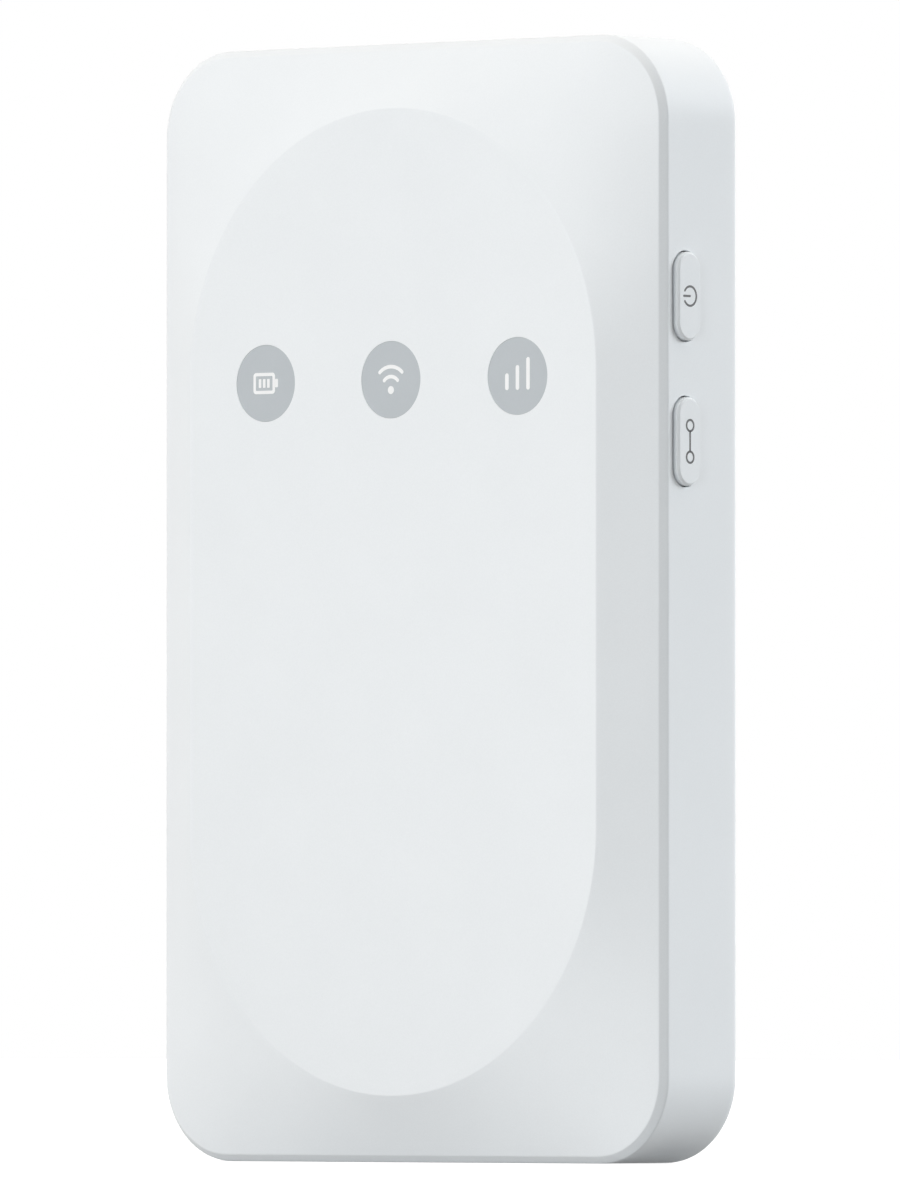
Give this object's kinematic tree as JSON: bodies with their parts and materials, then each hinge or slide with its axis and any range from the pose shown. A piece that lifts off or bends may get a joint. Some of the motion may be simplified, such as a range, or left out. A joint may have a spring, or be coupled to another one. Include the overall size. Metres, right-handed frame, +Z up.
{
  "type": "mobile hotspot",
  "caption": "Pocket wireless hotspot: slim white slab with a raised pill-shaped front, round status windows, side buttons and a lift-off back cover.",
  "frame": {"origin": "on the bottom edge face that it stands on, at mid width and mid thickness", "axes": "+Z up along the long side, -Y out of the front with the windows, +X towards the side with the buttons"},
  "size_m": [0.0636, 0.0142, 0.107],
  "materials": {
    "shell": "white moulded plastic, fine satin gloss",
    "button": "white moulded plastic, satin",
    "window": "grey translucent plastic, satin",
    "frame": "pale grey moulded plastic, fine spark texture",
    "black_plastic": "black moulded plastic",
    "led": "small light-emitting diode packages",
    "board": "green solder mask",
    "can": "tin-plated sheet",
    "switch_metal": "pressed sheet",
    "socket_metal": "plated sheet",
    "screw": "zinc-plated",
    "gold": "gold-plated contacts",
    "chip": "moulded epoxy",
    "battery": "cell in a pale grey wrap",
    "flex": "copper print under an amber film"
  },
  "bodies": {
    "housing": {"front_housing": "shell", "battery_window": "window", "wifi_window": "window", "signal_window": "window", "light_shield": "black_plastic", "status_leds": "led", "main_board": "board", "baseband_shield": "can", "rf_shield": "can", "modem_chip": "chip", "memory_chip": "chip", "wifi_chip": "chip", "power_amplifier": "chip", "power_switch": "switch_metal", "pairing_switch": "switch_metal", "reset_switch": "switch_metal", "usb_shell": "socket_metal", "usb_tongue": "black_plastic", "sim_base": "black_plastic", "sim_cage": "socket_metal", "mid_frame": "frame", "frame_screws": "screw", "battery_pack": "battery", "battery_cap": "black_plastic", "battery_terminals": "gold", "battery_connector": "black_plastic", "battery_springs": "gold", "main_antenna": "flex", "wifi_antenna": "flex", "antenna_pins": "gold"},
    "power_button": {"power_button": "button", "power_plunger": "black_plastic"},
    "pairing_button": {"pairing_button": "button", "pairing_plunger": "black_plastic"},
    "reset_plunger": {"reset_plunger": "black_plastic"},
    "back_cover": {"back_cover": "shell"}
  },
  "joints": [
    {"name": "power_press", "type": "slide", "parent": "housing", "child": "power_button", "axis": [-1, 0, 0], "range_m": [0, 0.0003], "stiffness_N_per_m": 1500},
    {"name": "pairing_press", "type": "slide", "parent": "housing", "child": "pairing_button", "axis": [-1, 0, 0], "range_m": [0, 0.0003], "stiffness_N_per_m": 1500},
    {"name": "reset_press", "type": "slide", "parent": "housing", "child": "reset_plunger", "axis": [0, -1, 0], "range_m": [0, 0.00025], "stiffness_N_per_m": 1500},
    {"name": "cover_lift", "type": "slide", "parent": "housing", "child": "back_cover", "axis": [0, 1, 0], "range_m": [0, 0.012]}
  ]
}
